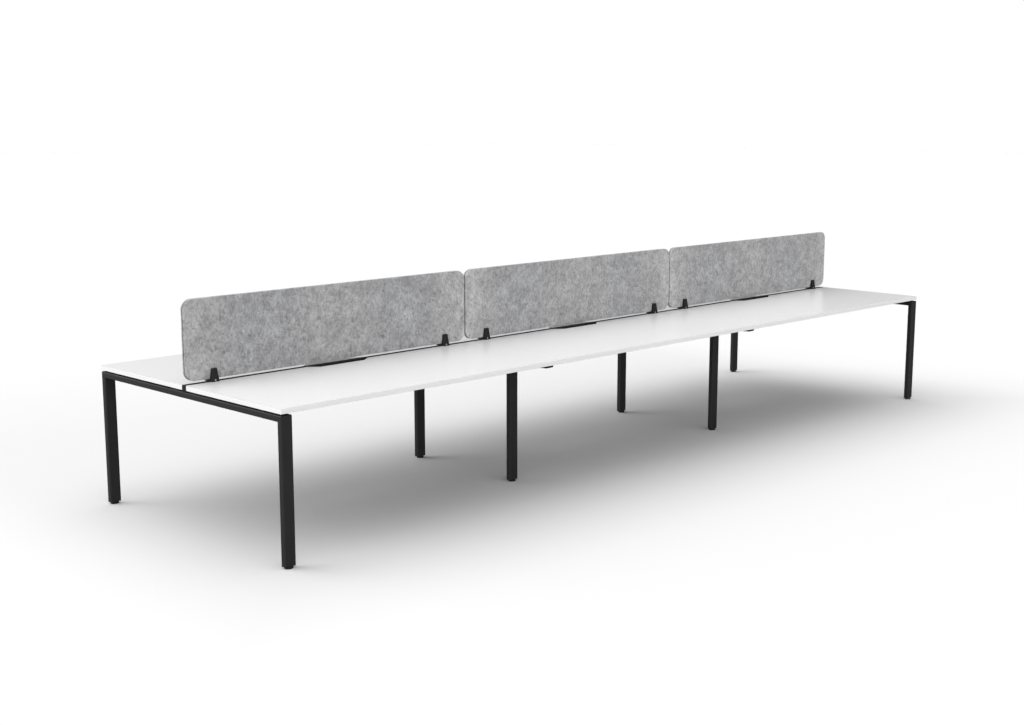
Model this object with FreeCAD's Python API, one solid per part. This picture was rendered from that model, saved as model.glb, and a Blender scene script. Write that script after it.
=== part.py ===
# Back-to-back workstation: two rows of three desktops on one shared steel frame,
# with felt screens clamped on the rail between the rows.
# Millimetres. Origin on the floor under the middle, +X along the rows, -Y towards the front row, +Z up.
import FreeCAD, Part
import os
from math import acos, cos, hypot, pi, sin, tan
from FreeCAD import Vector

# Names of what repeats
BAY_NAMES = ("left", "middle", "right")
FRAME_NAMES = ("left_end", "left_inner", "right_inner", "right_end")
ROWS = {"front": -1, "rear": 1}
BAYS = len(BAY_NAMES)

# Desktops
HEIGHT = 726.0              # floor to desktop surface
PLACE_LENGTH = 1800.0       # one place: a desktop with its share of the joints
TOP_DEPTH = 750.0
TOP_THICK = 25.0
ROW_GAP = 34.0              # between the inner edges of the two rows
TOP_JOINT = 0.5             # between neighbouring desktops in a row
TOP_CORNER_R = 3.0
BAND_THICK = 2.0            # plastic edge band
BAND_ARRIS = 1.0            # its rounded edges

# Cable scallop in the inner edge of each desktop
SCALLOP_LENGTH = 390.0      # at the inner edge
SCALLOP_DEPTH = 42.0
SCALLOP_RUN = 54.0          # length of each sloped end
SCALLOP_R = 15.0

# Steel tubes of the frames
TUBE_WIDE = 60.0            # along X
TUBE_THIN = 30.0            # along Y on a leg, along Z on a beam
TUBE_R = 5.0
TUBE_WALL = 2.0
SHADOW_GAP = 8.0            # spacers between the frame and the desktops
INNER_LEG_SETBACK = 387.0   # from the desktop's front edge to an inner leg's middle
INNER_BEAM_SETBACK = 109.0  # an inner cross-beam stops short of the desktop's front edge
CAP_THICK = 2.0             # plate of a tube's end cap
CAP_TENON = 18.0
PLUG_LIP = 1.5              # leg plug's flange under the tube
PLUG_TENON = 25.0
FIT = 0.3                   # play of what slips into a tube

# Levelling feet
PAD_R = 20.0
PAD_HIGH = 8.0
PAD_EDGE = 1.5
COLLAR_R = 9.0
COLLAR_HIGH = 2.0
STEM_R = 4.0
STEM_LONG = 45.0
STEM_PLAY = 0.3             # around the stem in its plug

# Side rails under each desktop
RAIL_WIDE = 40.0
RAIL_HIGH = 30.0
RAIL_R = 3.0
RAIL_WALL = 2.0
RAIL_END_GAP = 0.5
STUB_LONG = 60.0
STUB_WALL = 3.0
RAIL_SCREW_INSET = 30.0     # from the rail's end

# Screws from below into the desktops and the centre rail
SCREW_R = 3.0
SCREW_HEAD_R = 6.0
SCREW_HEAD_HIGH = 3.2
SCREW_BITE = 11.0           # into the desktop
SCREW_KEY = 4.0             # across the flats of the socket in its head
SCREW_KEY_DEEP = 2.0
SCREW_PLAY = 0.25
RAIL_SCREW_LONG = 9.0
FIX_INSET = 16.0            # from the end of a bay
FIX_END = 40.0              # from the end of an inner cross-beam
FIX_INNER = 60.0            # from the desktop's inner edge
FIX_RAIL_X = 400.0          # along a side rail, from its middle
SPACER_LONG = 40.0
SPACER_WIDE = 26.0

# Centre rail between the rows
CENTRE_PLAY = 1.0           # between the rail and either desktop
CENTRE_R = 1.0
CENTRE_WALL = 2.5
SLOT_WIDE = 8.4
SLOT_LIP = 2.4
SLOT_ROOM_WIDE = 18.0
SLOT_ROOM_HIGH = 7.6

# Felt screens, two boards back to back
SCREEN_GAP = 10.0           # between neighbouring screens
SCREEN_HIGH = 390.0
BOARD_THICK = 12.0
SCREEN_R = 50.0
BOARD_ARRIS = 2.0

# Screen clamps
CLAMP_INSET = 152.0         # from the screen's end to the clamp's middle
CLAMP_WIDE = 46.0
CLAMP_TOP_WIDE = 28.0
JAW_DEEP = 18.0
JAW_TOP_DEEP = 12.0
JAW_HIGH = 64.0
JAW_ROUND = 2.5
BASE_HIGH = 14.0            # the felt stands on it
JAW_PLAY = 0.3              # between the front jaw and what it closes on
DRAW_SCREW_R = 2.5
DRAW_SCREW_HEAD_R = 4.4
DRAW_SCREW_HEAD = 2.6
DRAW_SCREW_KEY = 3.0
DRAW_SCREW_KEY_DEEP = 1.6
DRAW_SCREW_UP = 8.0         # above the desktop
DRAW_SCREW_END = 2.0        # from the screw's tip to the bottom of its bore
DRAW_SCREW_DEEP = 30.0      # bore in the clamp body
DRAW_SCREW_PLAY = 0.3
BOLT_X = 10.0               # either side of the clamp's middle
BOLT_R = 2.5
BOLT_HEAD_R = 4.5
BOLT_HEAD_HIGH = 4.0
BOLT_KEY = 4.0
BOLT_KEY_DEEP = 2.5
BOLT_SUNK = 0.5             # head below the base's top
NUT_LONG = 30.0
NUT_HIGH = 5.0
NUT_PLAY = 0.5

OVERRUN = 5.0               # how far a cutting tool runs past what it cuts

# Places worked out from the sizes above
LENGTH = BAYS * PLACE_LENGTH
HALF_DEPTH = ROW_GAP / 2 + TOP_DEPTH
INNER_LEG_Y = HALF_DEPTH - INNER_LEG_SETBACK
INNER_BEAM_HALF = HALF_DEPTH - INNER_BEAM_SETBACK
UNDERSIDE = HEIGHT - TOP_THICK
FRAME_TOP = UNDERSIDE - SHADOW_GAP
BEAM_BOTTOM = FRAME_TOP - TUBE_THIN
RAIL_BOTTOM = FRAME_TOP - RAIL_HIGH
LEG_BOTTOM = PAD_HIGH + COLLAR_HIGH
END_LEG_Y = HALF_DEPTH - TUBE_THIN / 2
FELT_HALF = BOARD_THICK
SCREEN_BOTTOM = HEIGHT + BASE_HIGH
SCREEN_LONG = PLACE_LENGTH - SCREEN_GAP
CLAMP_X = SCREEN_LONG / 2 - CLAMP_INSET
CENTRE_WIDE = ROW_GAP - 2 * CENTRE_PLAY

X, Y, Z = Vector(1, 0, 0), Vector(0, 1, 0), Vector(0, 0, 1)
ORIGIN = Vector(0, 0, 0)


# Where the bays and frames stand

def bay_line(i):
    """X of the boundary before bay i."""
    return (i - BAYS / 2) * PLACE_LENGTH


def bay_ends(i):
    return bay_line(i), bay_line(i) + PLACE_LENGTH


def bay_centre(i):
    return bay_line(i) + PLACE_LENGTH / 2


def set_in(ends, inset):
    """The two places that lie an inset inside a pair of ends."""
    return ends[0] + inset, ends[1] - inset


def is_end(i):
    return i in (0, BAYS)


def frame_x(i):
    """X of frame i: end frames stand inside the desktop's end, inner ones under the joint."""
    if i == 0:
        return bay_line(0) + TUBE_WIDE / 2
    if i == BAYS:
        return bay_line(BAYS) - TUBE_WIDE / 2
    return bay_line(i)


def leg_y(i):
    return END_LEG_Y if is_end(i) else INNER_LEG_Y


# Basic solids

def block(x0, x1, y0, y1, z0, z1):
    return Part.makeBox(x1 - x0, y1 - y0, z1 - z0, Vector(x0, y0, z0))


def rod(radius, start, direction, length):
    return Part.makeCylinder(radius, length, start, direction)


def edges_along(shape, direction):
    """The straight edges of a shape that run along a direction."""
    found = []
    for edge in shape.Edges:
        run = edge.lastVertex().Point - edge.firstVertex().Point
        if run.Length and abs(run.normalize().dot(direction)) > 0.999:
            found.append(edge)
    return found


def rounded_bar(wide, thin, length, radius):
    """Upright bar centred on the origin, its four long edges rounded."""
    bar = block(-wide / 2, wide / 2, -thin / 2, thin / 2, 0, length)
    return bar.makeFillet(radius, edges_along(bar, Z))


def tube(wide, thin, length, radius, wall):
    """Upright tube centred on the origin."""
    bore = rounded_bar(wide - 2 * wall, thin - 2 * wall, length + 2 * OVERRUN, radius - wall)
    bore.translate(Z * -OVERRUN)
    return rounded_bar(wide, thin, length, radius).cut(bore)


def laid_along_y(shape):
    """Turns an upright bar so that it runs along +Y, its wide side still along X."""
    shape.rotate(ORIGIN, X, -90)
    return shape


def laid_along_x(shape):
    """Turns an upright bar so that it runs along +X, its wide side along Y."""
    shape.rotate(ORIGIN, Z, 90)
    shape.rotate(ORIGIN, Y, 90)
    return shape


def prism(points, run):
    """Solid of a closed outline pushed along a vector."""
    return Part.Face(Part.makePolygon(points + points[:1])).extrude(run)


def hex_socket(across, mouth, inward, depth):
    """Cutting tool for a hexagon key's socket, from its mouth inwards along a vector."""
    r = across / 2 / cos(pi / 6)
    points = [Vector(r * cos(k * pi / 3), r * sin(k * pi / 3), -OVERRUN) for k in range(6)]
    tool = prism(points, Z * (OVERRUN + depth))
    tool.Placement = FreeCAD.Placement(mouth, FreeCAD.Rotation(Z, inward))
    return tool


def headed(head, shank, socket):
    return head.fuse(shank).removeSplitter().cut(socket)


def rounded_outline(corners):
    """Closed outline through (x, y, radius) corners, each rounded by an arc."""
    places = [Vector(x, y, 0) for x, y, r in corners]
    ends, edges = [], []
    for i, (x, y, r) in enumerate(corners):
        here, before, after = places[i], places[i - 1], places[(i + 1) % len(places)]
        back, on = (before - here).normalize(), (after - here).normalize()
        half = acos(max(-1, min(1, back.dot(on)))) / 2
        reach = r / tan(half)
        middle = here + (back + on).normalize() * (hypot(r, reach) - r)
        ends.append((here + back * reach, middle, here + on * reach))
    for i, (start, middle, stop) in enumerate(ends):
        edges.append(Part.Arc(start, middle, stop).toShape())
        edges.append(Part.LineSegment(stop, ends[(i + 1) % len(ends)][0]).toShape())
    return Part.Wire(edges)


# Desktops and their edge bands

def desktop_outline(bay, side):
    """Outline of one desktop with the scallop in its inner edge; side is -1 or 1 for the row."""
    half = (PLACE_LENGTH - TOP_JOINT) / 2
    outer, inner = side * HALF_DEPTH, side * ROW_GAP / 2
    notch = inner + side * SCALLOP_DEPTH
    mouth, floor = SCALLOP_LENGTH / 2, SCALLOP_LENGTH / 2 - SCALLOP_RUN
    corners = [
        (-half, outer, TOP_CORNER_R), (half, outer, TOP_CORNER_R), (half, inner, TOP_CORNER_R),
        (mouth, inner, SCALLOP_R), (floor, notch, SCALLOP_R),
        (-floor, notch, SCALLOP_R), (-mouth, inner, SCALLOP_R), (-half, inner, TOP_CORNER_R),
    ]
    wire = rounded_outline(corners)
    wire.translate(Vector(bay_centre(bay), 0, UNDERSIDE))
    return wire


def desktop_and_band(bay, side):
    wire = desktop_outline(bay, side)
    face = Part.Face(wire)
    inner = face.makeOffset2D(-BAND_THICK)
    whole = face.extrude(Z * TOP_THICK)
    core = inner.extrude(Z * TOP_THICK)
    rims = [e for e in whole.Edges if abs(e.firstVertex().Z - e.lastVertex().Z) < BAND_ARRIS / 2]
    band = whole.makeFillet(BAND_ARRIS, rims).cut(core)
    for x, y in desktop_fixings(bay, side):
        start = Vector(x, y, UNDERSIDE - OVERRUN)
        core = core.cut(rod(SCREW_R + SCREW_PLAY, start, Z, OVERRUN + SCREW_BITE + SCREW_PLAY))
    return core.Solids[0], band.Solids[0]


# Fixings between the frame and what lies on it

def frame_fixings(bay, side):
    """Where one desktop is screwed down on its two cross-beams."""
    places = []
    for x in set_in(bay_ends(bay), FIX_INSET):
        for y in (INNER_BEAM_HALF - FIX_END, ROW_GAP / 2 + FIX_INNER):
            places.append((x, side * y))
    return places


def rail_fixings(bay, side):
    """Where one desktop is screwed down on its side rail."""
    return [(bay_centre(bay) + dx, side * INNER_LEG_Y) for dx in (-FIX_RAIL_X, FIX_RAIL_X)]


def desktop_fixings(bay, side):
    return frame_fixings(bay, side) + rail_fixings(bay, side)


def centre_fixings(bay):
    return [(x, 0) for x in set_in(bay_ends(bay), FIX_INSET)]


def all_desktop_fixings():
    return [p for bay in range(BAYS) for side in ROWS.values() for p in desktop_fixings(bay, side)]


def screw_from_below(x, y, seat, length):
    """Screw whose head bears on the height seat."""
    mouth = Vector(x, y, seat - SCREW_HEAD_HIGH)
    head = rod(SCREW_HEAD_R, mouth, Z, SCREW_HEAD_HIGH)
    shank = rod(SCREW_R, Vector(x, y, seat), Z, length)
    return headed(head, shank, hex_socket(SCREW_KEY, mouth, Z, SCREW_KEY_DEEP))


def long_screw(x, y):
    return screw_from_below(x, y, BEAM_BOTTOM, UNDERSIDE + SCREW_BITE - BEAM_BOTTOM)


def spacer(x, y):
    pad = block(x - SPACER_WIDE / 2, x + SPACER_WIDE / 2, y - SPACER_LONG / 2, y + SPACER_LONG / 2,
                FRAME_TOP, UNDERSIDE)
    start = Vector(x, y, FRAME_TOP - OVERRUN)
    return pad.cut(rod(SCREW_R + SCREW_PLAY, start, Z, SHADOW_GAP + 2 * OVERRUN))


def drilled(shape, places, bottom, top):
    """A tube with screw holes right through it at the (x, y) places that it covers."""
    box = shape.BoundBox
    for x, y in places:
        if box.XMin < x < box.XMax and box.YMin < y < box.YMax:
            start = Vector(x, y, bottom - OVERRUN)
            shape = shape.cut(rod(SCREW_R + SCREW_PLAY, start, Z, top - bottom + 2 * OVERRUN))
    return shape


# Frames

def mitre(keep, side, x):
    """Wedge that mitres an end frame's corner: keep says which of leg and beam stays."""
    outer, inner = HALF_DEPTH + OVERRUN, HALF_DEPTH - TUBE_THIN - OVERRUN
    top, bottom = FRAME_TOP + OVERRUN, BEAM_BOTTOM - OVERRUN
    last = (inner, top) if keep == "leg" else (outer, bottom)
    x0 = x - TUBE_WIDE / 2 - OVERRUN
    points = [Vector(x0, side * y, z) for y, z in ((outer, top), (inner, bottom), last)]
    return prism(points, X * (TUBE_WIDE + 2 * OVERRUN))


def leg(i, side):
    x, y = frame_x(i), side * leg_y(i)
    foot = LEG_BOTTOM + PLUG_LIP
    height = FRAME_TOP if is_end(i) else BEAM_BOTTOM + TUBE_R
    solid = tube(TUBE_WIDE, TUBE_THIN, height - foot, TUBE_R, TUBE_WALL)
    solid.translate(Vector(x, y, foot))
    if is_end(i):
        return solid.cut(mitre("leg", side, x))
    return solid.cut(beam_bar(i))


def beam_half(i):
    return HALF_DEPTH if is_end(i) else INNER_BEAM_HALF - CAP_THICK


def beam_place(i):
    return Vector(frame_x(i), -beam_half(i), BEAM_BOTTOM + TUBE_THIN / 2)


def beam_bar(i):
    """The cross-beam's outer shape, with nothing hollow in it."""
    bar = laid_along_y(rounded_bar(TUBE_WIDE, TUBE_THIN, 2 * beam_half(i), TUBE_R))
    bar.translate(beam_place(i))
    return bar


def cross_beam(i):
    solid = laid_along_y(tube(TUBE_WIDE, TUBE_THIN, 2 * beam_half(i), TUBE_R, TUBE_WALL))
    solid.translate(beam_place(i))
    if is_end(i):
        for side in ROWS.values():
            solid = solid.cut(mitre("beam", side, frame_x(i)))
    places = all_desktop_fixings() + [p for bay in range(BAYS) for p in centre_fixings(bay)]
    return drilled(solid, places, BEAM_BOTTOM, FRAME_TOP)


def beam_cap(i, side):
    """Plug in the open end of an inner cross-beam."""
    plate = rounded_bar(TUBE_WIDE, TUBE_THIN, CAP_THICK, TUBE_R)
    inside = TUBE_WALL + FIT
    tenon = rounded_bar(TUBE_WIDE - 2 * inside, TUBE_THIN - 2 * inside, CAP_TENON, TUBE_R - TUBE_WALL)
    tenon.translate(Z * CAP_THICK)
    cap = laid_along_y(plate.fuse(tenon))
    cap.translate(Vector(0, -INNER_BEAM_HALF, BEAM_BOTTOM + TUBE_THIN / 2))
    if side > 0:
        cap.rotate(ORIGIN, Z, 180)
    cap.translate(X * frame_x(i))
    return cap


def leg_plug(i, side):
    """Plug in a leg's foot, with the levelling foot's bore."""
    lip = rounded_bar(TUBE_WIDE, TUBE_THIN, PLUG_LIP, TUBE_R)
    inside = TUBE_WALL + FIT
    tenon = rounded_bar(TUBE_WIDE - 2 * inside, TUBE_THIN - 2 * inside, PLUG_TENON, TUBE_R - TUBE_WALL)
    tenon.translate(Z * PLUG_LIP)
    start = Z * -OVERRUN
    plug = lip.fuse(tenon).cut(rod(STEM_R + STEM_PLAY, start, Z, PLUG_LIP + PLUG_TENON + 2 * OVERRUN))
    plug.translate(Vector(frame_x(i), side * leg_y(i), LEG_BOTTOM))
    return plug


def levelling_foot(i, side):
    """Pad with its collar, and the stem that screws into the leg's plug."""
    place = Vector(frame_x(i), side * leg_y(i), 0)
    pad = Part.makeCylinder(PAD_R, PAD_HIGH)
    top = [e for e in pad.Edges if abs(e.BoundBox.ZMin - PAD_HIGH) < PAD_EDGE / 2]
    pad = pad.makeFillet(PAD_EDGE, top)
    pad = pad.fuse(rod(COLLAR_R, Z * PAD_HIGH, Z, COLLAR_HIGH)).removeSplitter()
    stem = rod(STEM_R, Z * LEG_BOTTOM, Z, STEM_LONG)
    foot = Part.makeCompound([pad, stem])
    foot.translate(place)
    return foot


# Side rails

def rail_span(bay):
    """X of the two beam faces that a side rail runs between."""
    return set_in((frame_x(bay), frame_x(bay + 1)), TUBE_WIDE / 2)


def rail_screw_places(bay, side):
    return [(x, side * INNER_LEG_Y) for x in set_in(rail_span(bay), RAIL_SCREW_INSET)]


def side_rail(bay, side):
    start, stop = rail_span(bay)
    length = stop - start - 2 * RAIL_END_GAP
    rail = laid_along_x(tube(RAIL_WIDE, RAIL_HIGH, length, RAIL_R, RAIL_WALL))
    rail.translate(Vector(start + RAIL_END_GAP, side * INNER_LEG_Y, FRAME_TOP - RAIL_HIGH / 2))
    rail = drilled(rail, rail_fixings(bay, side), RAIL_BOTTOM, FRAME_TOP)
    return drilled(rail, rail_screw_places(bay, side), RAIL_BOTTOM, RAIL_BOTTOM + RAIL_WALL)


def rail_stub(x, direction, side):
    """Short tube on a cross-beam's side that a side rail slips over."""
    inside = RAIL_WALL + FIT
    stub = laid_along_x(tube(RAIL_WIDE - 2 * inside, RAIL_HIGH - 2 * inside, STUB_LONG,
                             RAIL_R + STUB_WALL - RAIL_WALL, STUB_WALL))
    if direction < 0:
        stub.translate(X * -STUB_LONG)
    stub.translate(Vector(x, side * INNER_LEG_Y, FRAME_TOP - RAIL_HIGH / 2))
    place = (x + direction * RAIL_SCREW_INSET, side * INNER_LEG_Y)
    return drilled(stub, [place], RAIL_BOTTOM, RAIL_BOTTOM + inside + STUB_WALL)


def rail_screw(x, y):
    return screw_from_below(x, y, RAIL_BOTTOM, RAIL_SCREW_LONG)


# Centre rail with its slot

def slot_outline_tools(start, length):
    """The slot's mouth, the room under it and the hollow below, as cutting blocks."""
    x0, x1 = start - OVERRUN, start + length + OVERRUN
    lip = HEIGHT - SLOT_LIP
    room = lip - SLOT_ROOM_HIGH
    hollow = CENTRE_WIDE / 2 - CENTRE_WALL
    return [
        block(x0, x1, -SLOT_WIDE / 2, SLOT_WIDE / 2, room, HEIGHT + OVERRUN),
        block(x0, x1, -SLOT_ROOM_WIDE / 2, SLOT_ROOM_WIDE / 2, room, lip),
        block(x0, x1, -hollow, hollow, FRAME_TOP + CENTRE_WALL, room - CENTRE_WALL),
    ]


def centre_rail_ends(bay):
    """X of a rail's two ends; the outer ones leave room for their end cap."""
    start, stop = bay_ends(bay)
    start += CAP_THICK if bay == 0 else TOP_JOINT / 2
    stop -= CAP_THICK if bay == BAYS - 1 else TOP_JOINT / 2
    return start, stop


def centre_rail(bay):
    start, stop = centre_rail_ends(bay)
    high = HEIGHT - FRAME_TOP
    rail = laid_along_x(rounded_bar(CENTRE_WIDE, high, stop - start, CENTRE_R))
    rail.translate(Vector(start, 0, FRAME_TOP + high / 2))
    for tool in slot_outline_tools(start, stop - start):
        rail = rail.cut(tool)
    return drilled(rail, centre_fixings(bay), FRAME_TOP, FRAME_TOP + CENTRE_WALL)


def centre_cap(side):
    """End cap of the centre rail, with a tenon in its hollow."""
    high = HEIGHT - FRAME_TOP
    plate = laid_along_x(rounded_bar(CENTRE_WIDE, high, CAP_THICK, CENTRE_R))
    plate.translate(Vector(-LENGTH / 2, 0, FRAME_TOP + high / 2))
    half = CENTRE_WIDE / 2 - CENTRE_WALL - FIT
    roof = HEIGHT - SLOT_LIP - SLOT_ROOM_HIGH - CENTRE_WALL
    tenon = block(-LENGTH / 2 + CAP_THICK, -LENGTH / 2 + FIX_INSET / 2, -half, half,
                  FRAME_TOP + CENTRE_WALL + FIT, roof - FIT)
    cap = plate.fuse(tenon)
    if side > 0:
        cap.rotate(ORIGIN, Z, 180)
    return cap


# Felt screens

def felt_screen(bay):
    """Two felt boards back to back, with rounded corners."""
    half = SCREEN_LONG / 2
    corners = [(-half, 0, SCREEN_R), (half, 0, SCREEN_R),
               (half, SCREEN_HIGH, SCREEN_R), (-half, SCREEN_HIGH, SCREEN_R)]
    board = Part.Face(rounded_outline(corners)).extrude(Z * BOARD_THICK)
    rims = [e for e in board.Edges if abs(e.firstVertex().Z - e.lastVertex().Z) < BOARD_ARRIS / 2]
    board = board.makeFillet(BOARD_ARRIS, rims)
    board.rotate(ORIGIN, X, 90)
    front, rear = board.copy(), board
    rear.translate(Y * BOARD_THICK)
    screen = Part.makeCompound([front, rear])
    screen.translate(Vector(bay_centre(bay), 0, SCREEN_BOTTOM))
    return screen


# Screen clamps

def jaw_blank(inner, bottom):
    """Tapered upright jaw on the height bottom; its flat face is at Y = inner."""
    def ring(wide, deep, z):
        corners = ((-wide / 2, 0), (wide / 2, 0), (wide / 2, deep), (-wide / 2, deep))
        points = [Vector(x, inner + y, z) for x, y in corners]
        return Part.makePolygon(points + points[:1])
    foot = ring(CLAMP_WIDE, JAW_DEEP, bottom)
    head = ring(CLAMP_TOP_WIDE, JAW_TOP_DEEP, HEIGHT + JAW_HIGH)
    jaw = Part.makeLoft([foot, head], True, True)
    outside = [e for e in jaw.Edges if e.BoundBox.YMin > inner + JAW_ROUND]
    rounded = [e for e in outside if e.BoundBox.ZMax > bottom + JAW_ROUND]
    return jaw.makeFillet(JAW_ROUND, rounded)


def clamp_body(x):
    """Base over the gap with the rear jaw; the felt stands on the base."""
    base = block(-CLAMP_WIDE / 2, CLAMP_WIDE / 2, -FELT_HALF, FELT_HALF, HEIGHT, SCREEN_BOTTOM)
    body = base.fuse(jaw_blank(FELT_HALF, HEIGHT)).removeSplitter()
    axis = HEIGHT + DRAW_SCREW_UP
    start = Vector(0, -FELT_HALF - OVERRUN, axis)
    body = body.cut(rod(DRAW_SCREW_R + DRAW_SCREW_PLAY, start, Y, OVERRUN + DRAW_SCREW_DEEP))
    for dx in (-BOLT_X, BOLT_X):
        seat = SCREEN_BOTTOM - BOLT_SUNK - BOLT_HEAD_HIGH
        body = body.cut(rod(BOLT_HEAD_R + SCREW_PLAY, Vector(dx, 0, seat), Z, BASE_HIGH))
        hole = rod(BOLT_R + SCREW_PLAY, Vector(dx, 0, HEIGHT - OVERRUN), Z, BASE_HIGH + OVERRUN)
        body = body.cut(hole)
    body.translate(X * x)
    return body


def clamp_jaw(x):
    """Front jaw with the screw that draws it to the base."""
    blank = jaw_blank(FELT_HALF + JAW_PLAY, HEIGHT + JAW_PLAY)
    blank.rotate(ORIGIN, Z, 180)
    axis = HEIGHT + DRAW_SCREW_UP
    face = -(FELT_HALF + JAW_PLAY + JAW_DEEP)
    jaw = blank.cut(rod(DRAW_SCREW_R + SCREW_PLAY, Vector(0, face - OVERRUN, axis), Y,
                        JAW_DEEP + 2 * OVERRUN))
    sink = rod(DRAW_SCREW_HEAD_R + SCREW_PLAY, Vector(0, face - OVERRUN, axis), Y,
               OVERRUN + DRAW_SCREW_HEAD)
    jaw = jaw.cut(sink)
    mouth = Vector(0, face, axis)
    head = rod(DRAW_SCREW_HEAD_R, mouth, Y, DRAW_SCREW_HEAD)
    tip = -FELT_HALF + DRAW_SCREW_DEEP - DRAW_SCREW_END
    shank = rod(DRAW_SCREW_R, mouth + Y * DRAW_SCREW_HEAD, Y, tip - face - DRAW_SCREW_HEAD)
    screw = headed(head, shank, hex_socket(DRAW_SCREW_KEY, mouth, Y, DRAW_SCREW_KEY_DEEP))
    pair = Part.makeCompound([jaw, screw])
    pair.translate(X * x)
    return pair


def rail_nut(x):
    """Long nut in the rail's slot, with a thread at either end."""
    wide = SLOT_ROOM_WIDE - 2 * NUT_PLAY
    top = HEIGHT - SLOT_LIP
    nut = block(x - NUT_LONG / 2, x + NUT_LONG / 2, -wide / 2, wide / 2, top - NUT_HIGH, top)
    for dx in (-BOLT_X, BOLT_X):
        start = Vector(x + dx, 0, top - NUT_HIGH - OVERRUN)
        nut = nut.cut(rod(BOLT_R + SCREW_PLAY, start, Z, NUT_HIGH + 2 * OVERRUN))
    return nut


def clamp_bolt(x):
    seat = SCREEN_BOTTOM - BOLT_SUNK - BOLT_HEAD_HIGH
    tip = HEIGHT - SLOT_LIP - NUT_HIGH
    head = rod(BOLT_HEAD_R, Vector(x, 0, seat), Z, BOLT_HEAD_HIGH)
    shank = rod(BOLT_R, Vector(x, 0, tip), Z, seat - tip)
    mouth = Vector(x, 0, seat + BOLT_HEAD_HIGH)
    return headed(head, shank, hex_socket(BOLT_KEY, mouth, -Z, BOLT_KEY_DEEP))


# Everything, by name

def clamp_places():
    return [bay_centre(bay) + dx for bay in range(BAYS) for dx in (-CLAMP_X, CLAMP_X)]


def row_pieces(nodes):
    for row, side in ROWS.items():
        bands = []
        for bay, name in enumerate(BAY_NAMES):
            top, band = desktop_and_band(bay, side)
            nodes[f"desktop_{row}_{name}"] = top
            nodes[f"side_rail_{row}_{name}"] = side_rail(bay, side)
            bands.append(band)
        nodes[f"edge_bands_{row}"] = Part.makeCompound(bands)


def frame_pieces(nodes):
    plugs, caps, stubs = [], [], []
    for i, name in enumerate(FRAME_NAMES):
        nodes[f"cross_beam_{name}"] = cross_beam(i)
        for row, side in ROWS.items():
            nodes[f"leg_{name}_{row}"] = leg(i, side)
            nodes[f"foot_{name}_{row}"] = levelling_foot(i, side)
            plugs.append(leg_plug(i, side))
            if not is_end(i):
                caps.append(beam_cap(i, side))
            if i > 0:
                stubs.append(rail_stub(rail_span(i - 1)[1], -1, side))
            if i < BAYS:
                stubs.append(rail_stub(rail_span(i)[0], 1, side))
    caps += [centre_cap(side) for side in ROWS.values()]
    nodes["leg_plugs"] = Part.makeCompound(plugs)
    nodes["tube_end_caps"] = Part.makeCompound(caps)
    nodes["rail_stubs"] = Part.makeCompound(stubs)


def fixing_pieces(nodes):
    spacers, screws, rail_screws = [], [], []
    for x, y in all_desktop_fixings():
        spacers.append(spacer(x, y))
        screws.append(long_screw(x, y))
    for bay in range(BAYS):
        screws += [long_screw(x, y) for x, y in centre_fixings(bay)]
        for side in ROWS.values():
            rail_screws += [rail_screw(x, y) for x, y in rail_screw_places(bay, side)]
    nodes["desktop_spacers"] = Part.makeCompound(spacers)
    nodes["desktop_screws"] = Part.makeCompound(screws)
    nodes["rail_screws"] = Part.makeCompound(rail_screws)


def screen_pieces(nodes):
    for bay, name in enumerate(BAY_NAMES):
        nodes[f"centre_rail_{name}"] = centre_rail(bay)
        nodes[f"felt_screen_{name}"] = felt_screen(bay)
    bolts, nuts = [], []
    for number, x in enumerate(clamp_places(), 1):
        nodes[f"clamp_body_{number}"] = clamp_body(x)
        nodes[f"clamp_jaw_{number}"] = clamp_jaw(x)
        bolts += [clamp_bolt(x + dx) for dx in (-BOLT_X, BOLT_X)]
        nuts.append(rail_nut(x))
    nodes["clamp_bolts"] = Part.makeCompound(bolts)
    nodes["clamp_nuts"] = Part.makeCompound(nuts)


def main():
    os.makedirs("parts", exist_ok=True)
    nodes = {}
    row_pieces(nodes)
    frame_pieces(nodes)
    fixing_pieces(nodes)
    screen_pieces(nodes)
    for name, shape in nodes.items():
        assert shape.isValid(), name
        shape.exportStep(f"parts/{name}.step")
    box = Part.makeCompound(list(nodes.values())).optimalBoundingBox(False)
    print(len(nodes), "nodes,", sum(len(s.Solids) for s in nodes.values()), "solids")
    print(f"size {box.XLength:.1f} x {box.YLength:.1f} x {box.ZLength:.1f}")


main()
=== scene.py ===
# %% [markdown]
# # A back-to-back workstation
# Two rows of three white desktops share one black steel frame, and grey felt screens stand on the
# rail between the rows. The steel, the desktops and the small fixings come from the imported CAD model
# and only get a finish here. What a plain solid can't show is modelled again: the felt boards,
# the clamp jaws with their screws, and the levelling feet.
#
# The first step loads the fixed frame. Everything is in metres, with the floor at z = 0, the rows
# along X and the front row towards -Y.

from math import cos, pi, radians

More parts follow.
